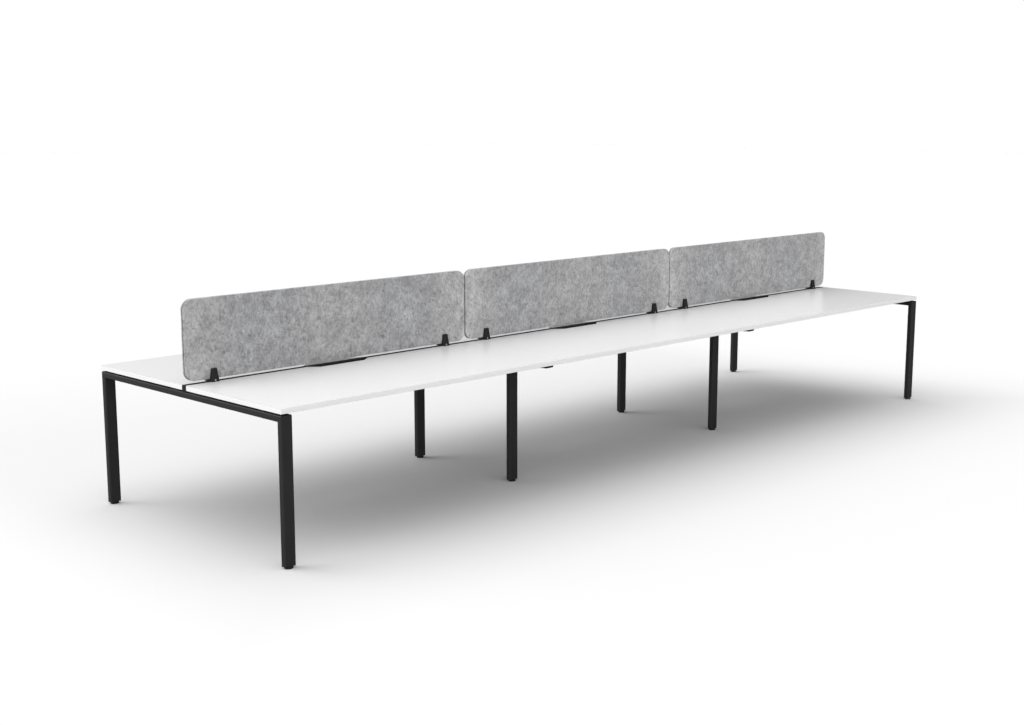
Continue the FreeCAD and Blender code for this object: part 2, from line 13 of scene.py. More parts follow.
import bmesh
import bpy
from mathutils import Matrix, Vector


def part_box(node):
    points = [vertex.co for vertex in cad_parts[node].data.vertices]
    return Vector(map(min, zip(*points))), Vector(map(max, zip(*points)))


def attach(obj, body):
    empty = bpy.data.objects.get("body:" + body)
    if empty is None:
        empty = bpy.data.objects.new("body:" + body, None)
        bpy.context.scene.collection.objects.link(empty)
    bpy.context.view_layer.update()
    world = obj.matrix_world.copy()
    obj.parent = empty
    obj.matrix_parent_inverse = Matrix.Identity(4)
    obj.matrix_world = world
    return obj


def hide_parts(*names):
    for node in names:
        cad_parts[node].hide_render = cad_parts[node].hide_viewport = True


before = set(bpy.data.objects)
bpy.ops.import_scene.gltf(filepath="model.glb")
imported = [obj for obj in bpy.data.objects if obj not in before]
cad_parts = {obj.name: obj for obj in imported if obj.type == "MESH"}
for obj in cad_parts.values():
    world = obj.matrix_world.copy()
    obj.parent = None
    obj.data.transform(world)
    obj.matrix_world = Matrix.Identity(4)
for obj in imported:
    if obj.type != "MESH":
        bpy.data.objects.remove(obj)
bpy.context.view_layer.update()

MM = 0.001
PLACE = 1.8
BAYS = ("left", "middle", "right")
FRAMES = ("left_end", "left_inner", "right_inner", "right_end")
ROWS = ("front", "rear")

# %% [markdown]
# ## The camera
# The picture is taken from beyond the left end, a little above head height, and looks across the
# desks at half a right angle. A 50 mm lens on a 36 mm sensor shows all three bays. The place was
# worked out from where the desks' corners fall in the picture, so nothing here is tuned by eye.

# %% Stand the camera where the photographer stood
CAMERA_PLACE = (-6.2482, -5.7285, 1.9913)
CAMERA_TURN = (radians(80), 0, radians(-45))
LENS = 50
SENSOR = 36
SEES_TO = 200

bpy.ops.object.camera_add(location=CAMERA_PLACE, rotation=CAMERA_TURN)
camera = bpy.context.object
camera.name = "studio_camera"
camera.data.lens = LENS
camera.data.sensor_width = SENSOR
camera.data.clip_end = SEES_TO
bpy.context.scene.camera = camera
bpy.context.scene.view_settings.view_transform = "Standard"
print("camera at", CAMERA_PLACE)

# %% [markdown]
# ## Small tools for hand modelling
# Blender's operators act on whatever is selected, as a hand on the mouse does. Each helper below
# selects one thing alone first, so an operator never reaches a CAD node by accident. Faces and
# edges are picked by a test on their place, which stays right when a size changes.

# %% Select one object, and pick its parts by a test
CLOSE = 0.01 * MM
PARALLEL = 0.99
LEVEL = 0.9


def only(piece):
    """Select one object alone and make it the active one."""
    bpy.ops.object.select_all(action="DESELECT")
    piece.select_set(True)
    bpy.context.view_layer.objects.active = piece


def pick(kind, test):
    """In edit mode, select the vertices, edges or faces that pass a test."""
    bpy.ops.mesh.select_mode(type=kind)
    bpy.ops.mesh.select_all(action="DESELECT")
    mesh = bmesh.from_edit_mesh(bpy.context.edit_object.data)
    parts = {"VERT": mesh.verts, "EDGE": mesh.edges, "FACE": mesh.faces}[kind]
    for part in parts:
        if test(part):
            part.select_set(True)
    bmesh.update_edit_mesh(bpy.context.edit_object.data)


def near(a, b):
    return abs(a - b) < CLOSE


def runs_along(edge, axis):
    """True where an edge is parallel to an axis: 0 for X, 1 for Y, 2 for Z."""
    run = (edge.verts[0].co - edge.verts[1].co).normalized()
    return abs(run[axis]) > PARALLEL


def faces_up(face):
    return face.normal.z > LEVEL


def faces_down(face):
    return face.normal.z < -LEVEL


# %% Start a piece, copy it, and finish it
def start_box(name, low, high):
    """A cube stretched between two corners, its place in its mesh, in edit mode."""
    low, high = Vector(low), Vector(high)
    bpy.ops.object.select_all(action="DESELECT")
    bpy.ops.mesh.primitive_cube_add(size=1, location=(low + high) / 2, scale=high - low)
    return opened(name)


def start_rod(name, radius, depth, middle, turn=(0, 0, 0), sides=48):
    """A cylinder about a middle point, its place in its mesh, in edit mode."""
    bpy.ops.object.select_all(action="DESELECT")
    bpy.ops.mesh.primitive_cylinder_add(vertices=sides, radius=radius, depth=depth,
                                        location=middle, rotation=turn)
    return opened(name)


def opened(name):
    piece = bpy.context.object
    piece.name = piece.data.name = name
    bpy.ops.object.transform_apply(location=True, rotation=True, scale=True)
    bpy.ops.object.mode_set(mode="EDIT")
    return piece


def smoothed(piece, below):
    """Soft shading across edges flatter than an angle in degrees."""
    only(piece)
    bpy.ops.object.shade_smooth_by_angle(angle=radians(below))


def closed(piece, smooth_below=35):
    """Turn the faces outwards, leave edit mode and shade the piece."""
    bpy.ops.mesh.select_all(action="SELECT")
    bpy.ops.mesh.normals_make_consistent(inside=False)
    bpy.ops.object.mode_set(mode="OBJECT")
    smoothed(piece, smooth_below)
    return piece


def copied(piece, name, shift):
    """A copy with its own mesh, moved in its mesh."""
    only(piece)
    bpy.ops.object.duplicate(linked=False)
    twin = bpy.context.object
    twin.name = twin.data.name = name
    twin.location = shift
    bpy.ops.object.transform_apply(location=True, rotation=False, scale=False)
    return twin


def apply_all(piece):
    only(piece)
    for modifier in list(piece.modifiers):
        bpy.ops.object.modifier_apply(modifier=modifier.name)


def cut_with(piece, cutter):
    """Take a second shape out of a piece, and remove that shape."""
    cut = piece.modifiers.new("cut", "BOOLEAN")
    cut.operation, cut.solver, cut.object = "DIFFERENCE", "EXACT", cutter
    apply_all(piece)
    bpy.data.objects.remove(cutter)


def joined(name, *pieces):
    """Several meshes made one piece."""
    only(pieces[0])
    for piece in pieces:
        piece.select_set(True)
    bpy.ops.object.join()
    pieces[0].name = pieces[0].data.name = name
    return pieces[0]


# %% [markdown]
# ## Effects that several finishes share
# Moulded plastic, powder coat, melamine and felt all need grain, slow changes of tone, or fine
# lines. Each effect is a node group with its own inputs, made once and placed in every finish with
# other values. A group gives out only numbers, and the shader stays in the finish.

# %% A helper for node trees
def node(tree, kind, settings=None, **sockets):
    """A node, with its settings and the values of its unlinked inputs."""
    made = tree.nodes.new(kind)
    for key, value in (settings or {}).items():
        setattr(made, key, value)
    for key, value in sockets.items():
        numbered = key[0] == "i" and key[1:].isdigit()
        socket = made.inputs[int(key[1:]) if numbered else key]
        if isinstance(value, bpy.types.NodeSocket):
            tree.links.new(value, socket)
        else:
            socket.default_value = value
    return made


def maths(tree, operation, a, b=0.0, c=0.0):
    """The result of one Math node."""
    return node(tree, "ShaderNodeMath", {"operation": operation}, i0=a, i1=b, i2=c).outputs[0]


def spread(tree, value, low, high, to_low, to_high):
    """Map a value from one range to another, held at both ends."""
    return node(tree, "ShaderNodeMapRange", None, i0=value, i1=low, i2=high, i3=to_low,
                i4=to_high).outputs[0]


def noise(tree, place, scale, detail=2.0, roughness=0.5):
    return node(tree, "ShaderNodeTexNoise", None, Vector=place, Scale=scale, Detail=detail,
                Roughness=roughness).outputs[0]


def effect(name, inputs, outputs):
    """An empty effect with named sockets: its tree, its inputs and its output node."""
    tree = bpy.data.node_groups.new(name, "ShaderNodeTree")
    for label, value in inputs.items():
        kind = "NodeSocketVector" if isinstance(value, tuple) else "NodeSocketFloat"
        tree.interface.new_socket(label, in_out="INPUT", socket_type=kind).default_value = value
    for label in outputs:
        tree.interface.new_socket(label, in_out="OUTPUT", socket_type="NodeSocketFloat")
    return tree, tree.nodes.new("NodeGroupInput").outputs, tree.nodes.new("NodeGroupOutput").inputs


def use(tree, group, **sockets):
    """Place an effect in a tree and give back its outputs."""
    return node(tree, "ShaderNodeGroup", {"node_tree": group}, **sockets).outputs


def split(tree, vector):
    """The X, Y and Z of a vector."""
    return node(tree, "ShaderNodeSeparateXYZ", None, i0=vector).outputs


def facing_of(tree):
    """The X, Y and Z of the way a surface faces."""
    return split(tree, node(tree, "ShaderNodeNewGeometry").outputs["Normal"])


def scaled(tree, vector, by):
    """A vector multiplied by another, axis by axis."""
    return node(tree, "ShaderNodeVectorMath", {"operation": "MULTIPLY"}, i0=vector, i1=by).outputs[0]


# %% Grain: the fine pimples of a moulded or pressed surface
grain, ins, outs = effect("grain", {"Place": (0, 0, 0), "Scale": 900.0}, ("Height", "Mask"))
fine = noise(grain, ins["Place"], ins["Scale"], 3.0, 0.6)
coarse = noise(grain, ins["Place"], maths(grain, "MULTIPLY", ins["Scale"], 0.31), 1.0)
height = maths(grain, "ADD", maths(grain, "MULTIPLY", fine, 0.65),
               maths(grain, "MULTIPLY", coarse, 0.35))
grain.links.new(height, outs["Height"])
grain.links.new(spread(grain, height, 0.38, 0.62, 0.0, 1.0), outs["Mask"])
print("effect:", grain.name)

# %% Mottle: slow changes of tone around one
mottle, ins, outs = effect("mottle", {"Place": (0, 0, 0), "Scale": 8.0, "Depth": 0.04}, ("Factor",))
drift = noise(mottle, ins["Place"], ins["Scale"], 3.0, 0.55)
centred = spread(mottle, drift, 0.3, 0.7, -1.0, 1.0)
mottle.links.new(maths(mottle, "MULTIPLY_ADD", centred, ins["Depth"], 1.0), outs["Factor"])
print("effect:", mottle.name)

# %% Drawn lines: noise stretched along the way a bar was drawn or rolled
drawn, ins, outs = effect("drawn_lines", {"Place": (0, 0, 0), "Stretch": (3, 900, 900)}, ("Height",))
stretched = scaled(drawn, ins["Place"], ins["Stretch"])
drawn.links.new(noise(drawn, stretched, 1.0, 3.0, 0.65), outs["Height"])
print("effect:", drawn.name)

# %% Fibres: thin curling strands that lie more or less one way in a felt
CURL = 12 * MM

fibres, ins, outs = effect("fibres", {"Place": (0, 0, 0), "Turn": (0, 0, 0),
                                      "Stretch": (60, 900, 1400)}, ("Strand",))
bend = node(fibres, "ShaderNodeTexNoise", None, Vector=ins["Place"], Scale=55.0,
            Detail=1.0).outputs["Color"]
curled = node(fibres, "ShaderNodeVectorMath", {"operation": "MULTIPLY_ADD"}, i0=bend,
              i1=(CURL,) * 3, i2=ins["Place"]).outputs[0]
turned = node(fibres, "ShaderNodeVectorRotate", {"rotation_type": "EULER_XYZ"}, Vector=curled,
              Rotation=ins["Turn"]).outputs[0]
strand = noise(fibres, scaled(fibres, turned, ins["Stretch"]), 1.0, 2.0, 0.6)
fibres.links.new(spread(fibres, strand, 0.48, 0.66, 0.0, 1.0), outs["Strand"])
print("effect:", fibres.name)

# %% Dust: a thin veil on what faces upwards
dust, ins, outs = effect("dust", {"Place": (0, 0, 0), "Amount": 0.1}, ("Mask",))
upward = spread(dust, facing_of(dust)["Z"], 0.6, 1.0, 0.0, 1.0)
patchy = spread(dust, noise(dust, ins["Place"], 35.0, 4.0, 0.65), 0.35, 0.7, 0.3, 1.0)
veil = maths(dust, "MULTIPLY", maths(dust, "MULTIPLY", upward, patchy), ins["Amount"])
dust.links.new(veil, outs["Mask"])
print("effect:", dust.name)

# %% [markdown]
# ## The finishes
# Every finish starts the same way: a Principled shader, the object's own coordinates, and a plain
# value on each socket that stays the same all over. What changes over the surface is then added:
# the tone, the roughness and the bump. `tinted` multiplies a base colour by a factor around one.

# %% Start a finish, tint it, and give it relief
REFRACTION = 1.5


def finish(name, colour, roughness, specular=0.5, metallic=0.0):
    material = bpy.data.materials.new(name)
    material.use_nodes = True
    tree = material.node_tree
    tree.nodes.clear()
    shader = node(tree, "ShaderNodeBsdfPrincipled")
    for socket, value in {"Base Color": (*colour, 1), "Roughness": roughness, "IOR": REFRACTION,
                          "Specular IOR Level": specular, "Metallic": metallic}.items():
        shader.inputs[socket].default_value = value
    surface = node(tree, "ShaderNodeOutputMaterial").inputs["Surface"]
    tree.links.new(shader.outputs[0], surface)
    material.diffuse_color = (*colour, 1)
    place = node(tree, "ShaderNodeTexCoord").outputs["Object"]
    return material, tree, shader.inputs, place


def tinted(tree, colour, factor):
    """A colour multiplied by a factor that changes over the surface."""
    return node(tree, "ShaderNodeVectorMath", {"operation": "SCALE"}, i0=colour,
                Scale=factor).outputs[0]


def blended(tree, mask, below, above):
    """One colour over another, by a mask."""
    mix = node(tree, "ShaderNodeMix", {"data_type": "RGBA"}, i0=mask)
    for index, colour in ((6, below), (7, above)):
        if isinstance(colour, bpy.types.NodeSocket):
            tree.links.new(colour, mix.inputs[index])
        else:
            mix.inputs[index].default_value = (*colour, 1)
    return mix.outputs[2]


def relief(tree, normal, height, depth, strength=1.0):
    """Bump of a real depth in metres."""
    bump = node(tree, "ShaderNodeBump", None, Strength=strength, Distance=depth, Height=height)
    tree.links.new(bump.outputs[0], normal)


# %% [markdown]
# White melamine is paper soaked in resin and pressed on a board. It is nearly flat white, with a
# fine pearl from the press plate that breaks up reflections. The plastic edge band is smoother. Its
# rounded upper rim is painted a darker white than the band, near the board's tone. Where the rim
# leans to the left it is painted darker still, as painted shade: left alone, it shows as a bright line
# along each joint, which the photo doesn't have. Both masks come from the way the surface faces, not
# from the camera.

# %% White melamine and its edge band
WHITE = (0.75, 0.75, 0.75)
BAND_WHITE = (0.92, 0.92, 0.92)
RIM_WHITE = (0.70, 0.70, 0.70)
JOINT_SHADE = (0.42, 0.42, 0.42)
BOARD_ROUGH = (0.18, 0.27)
BAND_ROUGH = (0.38, 0.48)

melamine, tree, shader, place = finish("white_melamine", WHITE, 0.22)
pearl = use(tree, grain, Place=place, Scale=650.0)
tone = use(tree, mottle, Place=place, Scale=2.5, Depth=0.006)["Factor"]
tree.links.new(tinted(tree, WHITE, tone), shader["Base Color"])
tree.links.new(spread(tree, pearl["Mask"], 0, 1, *BOARD_ROUGH), shader["Roughness"])
relief(tree, shader["Normal"], pearl["Height"], 0.03 * MM, 0.5)

band, tree, shader, place = finish("edge_band_plastic", BAND_WHITE, 0.42)
skin = use(tree, grain, Place=place, Scale=1500.0)
tone = use(tree, mottle, Place=place, Scale=5.0, Depth=0.012)["Factor"]
facing = facing_of(tree)
# The rounded upper rim is painted a darker white than the band.
upper_rim_mask = spread(tree, facing["Z"], 0.2, 0.8, 0.0, 1.0)
rim = blended(tree, upper_rim_mask, BAND_WHITE, RIM_WHITE)
# Painted shade: where the rim leans to the left it is darkened further, so no bright line shows along
# each joint.
joint_shade_mask = maths(tree, "MULTIPLY", spread(tree, facing["X"], -0.3, -0.1, 1.0, 0.0),
                spread(tree, facing["Z"], 0.05, 0.25, 0.0, 1.0))
tree.links.new(tinted(tree, blended(tree, joint_shade_mask, rim, JOINT_SHADE), tone), shader["Base Color"])
tree.links.new(spread(tree, skin["Mask"], 0, 1, *BAND_ROUGH), shader["Roughness"])
relief(tree, shader["Normal"], skin["Height"], 0.02 * MM, 0.4)
print("finishes:", melamine.name, band.name)

# %% [markdown]
# The frames are powder coated: the powder melts into a thick skin with a gentle orange peel, a few
# millimetres from crest to crest, and a trace of dust lies on what faces up. The tops of the beams,
# in the narrow gap under the desktops, are painted fully black and dull. Real powder coat isn't that
# black: it stands in for a gap that is darker in the photo than plain shading makes it. The centre
# rail is drawn aluminium, anodised black, so its lines run along the row.

# %% Black powder coat and anodised rail
BLACK = (0.012, 0.012, 0.013)
RAIL_BLACK = (0.009, 0.009, 0.0095)
DUST = (0.42, 0.41, 0.39)
GAP_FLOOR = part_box("cross_beam_left_end")[1].z
GAP_FROM, GAP_FULL = GAP_FLOOR - 1.5 * MM, GAP_FLOOR - 0.5 * MM
GAP_PAINTED_SHADE = (0.0, 0.0, 0.0)
COAT_ROUGH = (0.44, 0.56)
RAIL_ROUGH = (0.52, 0.68)

powder_coat, tree, shader, place = finish("black_powder_coat", BLACK, 0.5, specular=0.4)
peel = noise(tree, place, 380.0, 2.0, 0.45)
speck = use(tree, grain, Place=place, Scale=2200.0)
tone = use(tree, mottle, Place=place, Scale=9.0, Depth=0.12)["Factor"]
veil = use(tree, dust, Place=place, Amount=0.03)["Mask"]
# Painted shade: the beam tops in the narrow gap under the desktops are made black and fully rough.
gap_shade_mask = spread(tree, split(tree, place)["Z"], GAP_FROM, GAP_FULL, 0.0, 1.0)
coat = blended(tree, veil, tinted(tree, BLACK, tone), DUST)
tree.links.new(blended(tree, gap_shade_mask, coat, GAP_PAINTED_SHADE), shader["Base Color"])
dull = spread(tree, speck["Mask"], 0, 1, *COAT_ROUGH)
tree.links.new(maths(tree, "MAXIMUM", dull, gap_shade_mask), shader["Roughness"])
skin = maths(tree, "MULTIPLY_ADD", speck["Height"], 0.25, peel)
relief(tree, shader["Normal"], skin, 0.06 * MM, 0.6)

anodised, tree, shader, place = finish("black_anodised_aluminium", RAIL_BLACK, 0.6, specular=0.25)
lines = use(tree, drawn, Place=place, Stretch=(2.5, 1400, 1400))["Height"]
tone = use(tree, mottle, Place=place, Scale=6.0, Depth=0.1)["Factor"]
tree.links.new(tinted(tree, RAIL_BLACK, tone), shader["Base Color"])
tree.links.new(spread(tree, lines, 0.3, 0.7, *RAIL_ROUGH), shader["Roughness"])
relief(tree, shader["Normal"], lines, 0.02 * MM, 0.5)
print("finishes:", powder_coat.name, anodised.name)

# %% [markdown]
# Small plastic parts have the grain of their mould, etched so that it hides scratches. The clamps
# are the part a hand touches, the feet stand in the dust of the floor, and the plugs and spacers
# are plain. One function makes all three, with its own black and its own grain.

# %% Three moulded plastics
def moulded(name, colour, scale, roughness, dusty):
    material, tree, shader, place = finish(name, colour, roughness, specular=0.3)
    skin = use(tree, grain, Place=place, Scale=scale)
    tone = use(tree, mottle, Place=place, Scale=40.0, Depth=0.08)["Factor"]
    veil = use(tree, dust, Place=place, Amount=dusty)["Mask"]
    tree.links.new(blended(tree, veil, tinted(tree, colour, tone), DUST), shader["Base Color"])
    uneven = spread(tree, skin["Mask"], 0, 1, roughness - 0.06, roughness + 0.08)
    tree.links.new(uneven, shader["Roughness"])
    relief(tree, shader["Normal"], skin["Height"], 0.08 * MM, 0.6)
    return material


clamp_plastic = moulded("clamp_plastic", (0.0065, 0.0065, 0.007), 1100.0, 0.55, 0.01)
foot_plastic = moulded("foot_plastic", (0.009, 0.009, 0.009), 900.0, 0.6, 0.03)
plain_plastic = moulded("plain_black_plastic", (0.006, 0.006, 0.006), 1400.0, 0.6, 0.01)
print("finishes:", clamp_plastic.name, foot_plastic.name, plain_plastic.name)

# %% [markdown]
# Screws, bolts and nuts are zinc-plated steel: a grey metal with a cold, slightly blue cast that
# drifts to a faint yellow, and fine marks from turning.

# %% Zinc-plated steel
ZINC = (0.42, 0.43, 0.45)
ZINC_WARM = (0.44, 0.42, 0.38)
ZINC_ROUGH = (0.24, 0.42)

zinc, tree, shader, place = finish("zinc_plated_steel", ZINC, 0.32, metallic=1.0)
cast = spread(tree, noise(tree, place, 160.0, 2.0), 0.4, 0.65, 0.0, 1.0)
marks = use(tree, grain, Place=place, Scale=3200.0)
tree.links.new(blended(tree, cast, ZINC, ZINC_WARM), shader["Base Color"])
tree.links.new(spread(tree, marks["Mask"], 0, 1, *ZINC_ROUGH), shader["Roughness"])
relief(tree, shader["Normal"], marks["Height"], 0.01 * MM, 0.5)
print("finish:", zinc.name)

# %% [markdown]
# The screens are pressed polyester felt. Close up it is a tangle of light and dark strands that
# lie in all directions of the board's face. From a few metres the strands merge into short upright
# streaks, blotches and small dark spots. Each scale is its own layer, so the felt holds at every
# distance. Across a whole board the colour also changes slowly, fitted to the photo: up to a fifth
# lighter at the ends, slightly lighter towards the top, and warmer at the ends and in the middle.
# Whether the felt or the light on it causes that in the photo isn't known. The seam that the model
# marks is painted dark, as painted shade between the two boards, and the sheen stands for the light
# that loose fibres scatter at the edges.

# %% Grey felt
FELT_COOL = (0.340, 0.342, 0.348)
FELT_WARM = (0.348, 0.342, 0.339)
FELT_DARK = (0.12, 0.12, 0.13)
FELT_LIGHT = (0.58, 0.58, 0.58)
STRANDS = ((0.3, 0.6, FELT_DARK), (1.4, 0.5, FELT_LIGHT), (2.5, 0.35, FELT_DARK))
END_REACH, END_LIGHTER = 0.22, 1.20
LOW_AT, HIGH_AT = 0.74, 1.13
LOW_TONE, HIGH_TONE = 0.99, 1.04
WARM_TO, COOL_FROM = 0.05, 0.30
COOL_TONE, WARM_TONE = 0.975, 1.03
SPOT_TONE, SEAM_SHADE_TONE = 0.74, 0.1

felt, tree, shader, place = finish("grey_felt", FELT_COOL, 0.95, specular=0.15)
shader["Sheen Weight"].default_value = 0.12
shader["Sheen Roughness"].default_value = 0.6
axes = split(tree, place)
from_half = maths(tree, "PINGPONG", axes["X"], PLACE / 4)
from_end = maths(tree, "PINGPONG", maths(tree, "ADD", axes["X"], PLACE / 2), PLACE / 2)
warmth = spread(tree, from_half, WARM_TO, COOL_FROM, 1.0, 0.0)
ends = spread(tree, from_end, 0, END_REACH, END_LIGHTER, 1.0)
upwards = spread(tree, axes["Z"], LOW_AT, HIGH_AT, LOW_TONE, HIGH_TONE)
slow = maths(tree, "MULTIPLY", spread(tree, warmth, 0, 1, COOL_TONE, WARM_TONE),
             maths(tree, "MULTIPLY", ends, upwards))
patches = use(tree, mottle, Place=place, Scale=8.0, Depth=0.09)["Factor"]
blotches = use(tree, mottle, Place=place, Scale=20.0, Depth=0.17)["Factor"]
streaks = use(tree, mottle, Place=scaled(tree, place, (1.0, 1.0, 0.65)), Scale=70.0,
              Depth=0.20)["Factor"]
spots = spread(tree, noise(tree, place, 60.0, 1.0), 0.58, 0.70, 1.0, SPOT_TONE)
# Painted shade: the marked seam between the two boards is darkened.
marked = node(tree, "ShaderNodeAttribute", {"attribute_name": "seam"}).outputs["Fac"]
seam_shade = spread(tree, marked, 0, 1, 1.0, SEAM_SHADE_TONE)
tone = slow
for layer in (patches, blotches, streaks, spots, seam_shade):
    tone = maths(tree, "MULTIPLY", tone, layer)
colour = blended(tree, warmth, FELT_COOL, FELT_WARM)
tangle = 0.0
for angle, share, shade in STRANDS:
    strand = use(tree, fibres, Place=place, Turn=(0, angle, 0), Stretch=(90, 800, 1100))["Strand"]
    colour = blended(tree, maths(tree, "MULTIPLY", strand, share), colour, shade)
    tangle = maths(tree, "ADD", tangle, strand)
tree.links.new(tinted(tree, colour, tone), shader["Base Color"])
fluff = noise(tree, place, 260.0, 3.0, 0.6)
relief(tree, shader["Normal"], maths(tree, "MULTIPLY_ADD", fluff, 2.0, tangle), 0.25 * MM, 0.7)
print("finish:", felt.name)

# %% [markdown]
# ## Finishes on the CAD nodes
# A CAD node's mesh is never touched. Its object has one material slot, and that slot gets the
# finish. The node's own material says which: it carries the name of the record's slot.

# %% Give every CAD node its finish
FINISHES = {"white_board": melamine, "white_edge_band": band, "black_steel": powder_coat,
            "black_aluminium": anodised, "grey_felt": felt, "clamp_plastic": clamp_plastic,
            "foot_plastic": foot_plastic, "black_plastic": plain_plastic, "zinc_steel": zinc}

dressed = {}
for name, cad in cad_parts.items():
    slot = cad.material_slots[0]
    key = slot.material.name.split(".")[0]
    slot.link = "OBJECT"
    slot.material = FINISHES[key]
    dressed[key] = dressed.get(key, 0) + 1
print("CAD nodes by finish:", dressed)


def dress(piece, key, body, *replaced):
    """Give a new piece its finish, its body and the CAD nodes that it stands for."""
    piece.data.materials.clear()
    piece.data.materials.append(FINISHES[key])
    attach(piece, body)
    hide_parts(*replaced)


# %% [markdown]
# ## The felt boards
# A screen is two boards back to back, and the end shows a dark seam between them. A board is cut
# from a sheet with rounded corners, and pressing leaves its rim soft. It could be a plane with a
# Solidify modifier, but a box keeps both faces at the CAD's exact places. The box's four
# corners are bevelled to the big radius and the rims to the small one. The back is inset and
# pushed out a little, which leaves the seam as a groove all round where two boards meet. The faces
# are then sliced into a net so that they can bend. The rear board is the front one mirrored.

# %% Model one felt board
CORNER_R = 50 * MM
RIM_R = 1.8 * MM
SEAM_HALF = 2.2 * MM
SEAM_DEEP = 7 * MM
NET = 30 * MM

screen_low, screen_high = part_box("felt_screen_left")
seam = (screen_low.y + screen_high.y) / 2
print("screen thickness:", screen_high.y - screen_low.y, "seam at y", seam)


def sliced(low, high, axis, step):
    """Cut the open mesh by planes across an axis, an even step apart."""
    count = round((high - low) / step)
    normal = Vector([1 if k == axis else 0 for k in range(3)])
    for k in range(1, count):
        bpy.ops.mesh.select_all(action="SELECT")
        bpy.ops.mesh.bisect(plane_co=normal * (low + (high - low) * k / count), plane_no=normal)


board_back = seam - SEAM_HALF
board = start_box("felt_board", screen_low, (screen_high.x, board_back, screen_high.z))
pick("EDGE", lambda e: runs_along(e, 1))
bpy.ops.mesh.bevel(offset=CORNER_R, segments=14, affect="EDGES")
pick("EDGE", lambda e: near(e.verts[0].co.y, e.verts[1].co.y))
bpy.ops.mesh.bevel(offset=RIM_R, segments=4, affect="EDGES")
pick("FACE", lambda f: all(near(v.co.y, board_back) for v in f.verts))
bpy.ops.mesh.inset(thickness=SEAM_DEEP - RIM_R)
bpy.ops.mesh.extrude_region_move(TRANSFORM_OT_translate={"value": (0, SEAM_HALF, 0)})
sliced(screen_low.x, screen_high.x, 0, NET)
sliced(screen_low.z, screen_high.z, 2, NET)
closed(board, smooth_below=50)

# The inner faces where the two boards meet are marked, for the painted shade in the seam.
seam_shade_layer = board.data.attributes.new("seam", "FLOAT", "POINT")
for vertex in board.data.vertices:
    seam_shade_layer.data[vertex.index].value = 1.0 if vertex.co.y > board_back - CLOSE else 0.0

rear_board = copied(board, "felt_board_rear", (0, 0, 0))
bpy.ops.object.mode_set(mode="EDIT")
bpy.ops.mesh.select_all(action="SELECT")
bpy.ops.transform.resize(value=(1, -1, 1), center_override=(0, seam, 0))
closed(rear_board, smooth_below=50)
print("one board:", len(board.data.vertices), "vertices")

# %% [markdown]
# A felt board this thin is never dead flat. The clamps hold its lower edge, so it wanders most at
# the top. A Displace modifier with slow clouds does that, and a vertex group that grows with height
# holds the lower edge still. The clouds are read at each board's own place, so no two screens match.

# %% Copy the board to its six places and let it wander
WANDER = 2.0 * MM
WAVE_SIZE = 0.45
STIFFNESS = 1.5
waves = bpy.data.textures.new("felt_waves", "CLOUDS")
waves.noise_scale = WAVE_SIZE
waves.noise_depth = 1

for bay in BAYS:
    low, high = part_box(f"felt_screen_{bay}")
    for row, model in zip(ROWS, (board, rear_board)):
        piece = copied(model, f"felt_board_{bay}_{row}", (low.x - screen_low.x, 0, 0))
        free = piece.vertex_groups.new(name="free_height")
        for vertex in piece.data.vertices:
            rise = (vertex.co.z - low.z) / (high.z - low.z)
            free.add([vertex.index], rise ** STIFFNESS, "REPLACE")
        bend = piece.modifiers.new("wander", "DISPLACE")
        bend.texture, bend.texture_coords, bend.direction = waves, "LOCAL", "Y"
        bend.strength, bend.mid_level, bend.vertex_group = WANDER, 0.5, free.name
        apply_all(piece)
        dress(piece, "grey_felt", "workstation", f"felt_screen_{bay}")
for model in (board, rear_board):
    bpy.data.objects.remove(model)
print("felt boards:", len(BAYS) * len(ROWS))

# %% [markdown]
# ## Screw threads
# The feet and the clamps both have threaded rods, and a thread shows as soon as a foot is wound
# out or a clamp is opened. One tooth's outline is drawn point by point as three short edges, so
# the mesh has to be in vertex mode: in edge or face mode the first lone point can't be selected.
# The Screw modifier turns the outline up the axis, then the turns are merged and the ends closed.

# %% A threaded rod along Z
TOOTH_PATH = ((1, 0.4), (0, 0.15), (-1, 0.45))
WELD = 0.001 * MM


def threaded_rod(name, radius, tooth, pitch, length, steps=20):
    """A thread from z = 0 up, about the Z axis, a whole number of turns long.

    The tooth is its depth. Its path goes out, along the crest and back, in teeth and in pitches.
    """
    root = radius - tooth
    bpy.ops.object.select_all(action="DESELECT")
    bpy.ops.mesh.primitive_plane_add(size=pitch, location=(root, 0, 0))
    rod = opened(name)
    bpy.ops.mesh.select_mode(type="VERT")
    bpy.ops.mesh.select_all(action="SELECT")
    bpy.ops.mesh.merge(type="CENTER")
    for out, up in TOOTH_PATH:
        bpy.ops.mesh.extrude_vertices_move(
            TRANSFORM_OT_translate={"value": (out * tooth, 0, up * pitch)})
    bpy.ops.object.mode_set(mode="OBJECT")
    turn = rod.modifiers.new("turn", "SCREW")
    turn.axis, turn.angle, turn.screw_offset = "Z", 2 * pi, pitch
    turn.iterations = max(1, round(length / pitch) - 1)
    turn.steps = turn.render_steps = steps
    turn.use_merge_vertices, turn.merge_threshold = True, WELD
    apply_all(rod)
    bpy.ops.object.mode_set(mode="EDIT")
    bpy.ops.mesh.select_all(action="SELECT")
    bpy.ops.mesh.remove_doubles(threshold=WELD)
    bpy.ops.mesh.select_all(action="SELECT")
    bpy.ops.mesh.fill_holes(sides=0)
    return closed(rod, smooth_below=30)


# %% [markdown]
# ## The levelling feet
# A foot is a moulded pad with a low collar, on a threaded stem that screws into the leg. The pad
# starts as a plain cylinder. Its top is inset and lowered a little, so that a rim runs round it,
# then inset again and raised for the collar. The underside gets a shallow hollow, as a moulded
# pad has, and the sharp edges are rounded.

